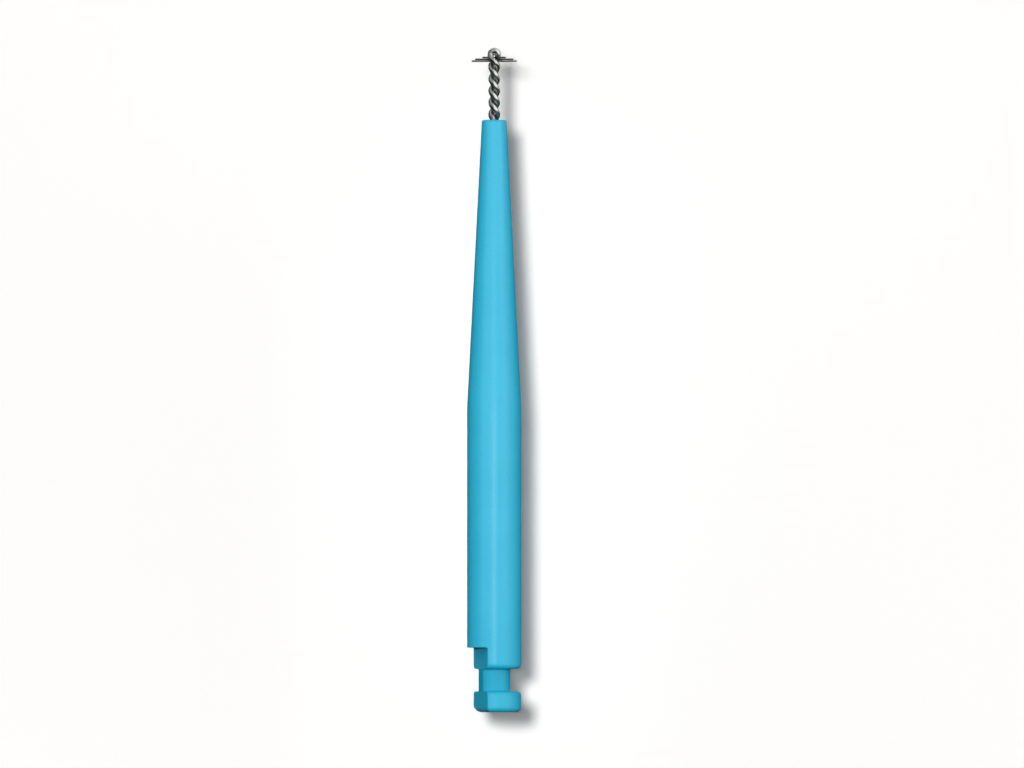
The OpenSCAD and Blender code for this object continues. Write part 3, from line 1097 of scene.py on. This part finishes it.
class BRUSH_OT_shank(Operator):
    """Build the moulded shank"""

    bl_idname = "brush.shank"
    bl_label = "Shank"

    def execute(self, context):
        scene = context.scene
        shank, wire, finishes = scene.brush_shank, in_millimetres(scene.brush_wire), scene.brush_finishes
        plastic = moulded_plastic(finishes, shank.button_height, shank.groove_top, shank.height)
        bore = Vector((math.cos(wire.anchor_turn), math.sin(wire.anchor_turn))) * wire.leg_radius
        bm = shank_mesh(in_millimetres(shank), bore)
        finish_piece("shank_moulding", bm, plastic, "shank")
        return {"FINISHED"}


class BRUSH_OT_wire(Operator):
    """Build the twisted wire"""

    bl_idname = "brush.wire"
    bl_label = "Twisted Wire"

    def execute(self, context):
        scene = context.scene
        finishes = scene.brush_finishes
        # The wire's steel, with painted shade between its strands and at the nose
        steel = drawn_steel(
            "wire_steel", finishes.steel, finishes.steel_dark, groove_shade_mask, rough=0.21, lines=26.0
        )
        bm = wire_mesh(in_millimetres(scene.brush_wire))
        finish_piece("wire_hairpin", bm, steel, "twisted_wire")
        return {"FINISHED"}


class BRUSH_OT_bristles(Operator):
    """Build the filaments that the wire grips"""

    bl_idname = "brush.bristles"
    bl_label = "Filaments"

    def execute(self, context):
        scene = context.scene
        finishes = scene.brush_finishes
        sizes, wire = in_millimetres(scene.brush_bristles), in_millimetres(scene.brush_wire)
        # The filaments' steel, with painted shade where the wire grips them
        steel = drawn_steel(
            "filament_steel", finishes.filament, finishes.filament_dark, grip_shade_mask, rough=0.3, lines=60.0
        )
        for node, name in FILAMENTS.items():
            low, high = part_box(node)
            height = (low.z + high.z) / 2 * MM
            bm = filament_mesh(sizes, height, leg_angle(wire, height))
            finish_piece(name, bm, steel, node)
        return {"FINISHED"}


class BRUSH_OT_stage(Operator):
    """Set up the camera, lamps, floor and backdrop"""

    bl_idname = "brush.stage"
    bl_label = "Studio"

    def execute(self, context):
        scene = context.scene
        settings = scene.brush_studio
        scene.view_settings.view_transform = "Standard"
        studio_camera(scene, settings)
        studio_world(settings.ambient)
        for name, (azimuth, elevation, spread) in LAMPS.items():
            soft_sun(name + "_lamp", azimuth, elevation, getattr(settings, name), spread)
        plastic = card_receivers("plastic_pieces", ["shank_moulding"])
        metal = card_receivers("metal_pieces", ["wire_hairpin", *FILAMENTS.values()])
        studio_sheets(settings)
        studio_cards(Vector((0.0, 0.0, settings.view_z)), plastic, metal)
        studio_flags(scene.brush_shank.height, settings.paper_distance - FLAG_GAP)
        return {"FINISHED"}


OPERATORS = (BRUSH_OT_effects, BRUSH_OT_shank, BRUSH_OT_wire, BRUSH_OT_bristles, BRUSH_OT_stage)
GROUPS = {
    "brush_shank": ShankSizes,
    "brush_wire": WireSizes,
    "brush_bristles": BristleSizes,
    "brush_finishes": BrushFinishes,
    "brush_studio": StudioSettings,
}


class BRUSH_PT_panel(Panel):
    """Lists the brush's operators and properties"""

    bl_idname = "BRUSH_PT_panel"
    bl_label = "Interdental Brush"
    bl_space_type = "VIEW_3D"
    bl_region_type = "UI"
    bl_category = "Brush"

    def draw(self, context):
        for operator in OPERATORS:
            self.layout.operator(operator.bl_idname)
        for holder, group in GROUPS.items():
            box = self.layout.box()
            box.label(text=group.__doc__)
            for name in group.__annotations__:
                box.prop(getattr(context.scene, holder), name)


def register():
    """Registers the classes and hangs the property groups on the scene."""
    for kind in (*GROUPS.values(), *OPERATORS, BRUSH_PT_panel):
        bpy.utils.register_class(kind)
    for holder, group in GROUPS.items():
        setattr(bpy.types.Scene, holder, PointerProperty(type=group))


def unregister():
    """Takes the property groups and the classes away again."""
    for holder in GROUPS:
        delattr(bpy.types.Scene, holder)
    for kind in reversed((*GROUPS.values(), *OPERATORS, BRUSH_PT_panel)):
        bpy.utils.unregister_class(kind)


def main():
    """Builds the brush and its studio."""
    register()
    bpy.ops.brush.effects()
    bpy.ops.brush.shank()
    bpy.ops.brush.wire()
    bpy.ops.brush.bristles()
    bpy.ops.brush.stage()


if __name__ == "__main__":
    main()
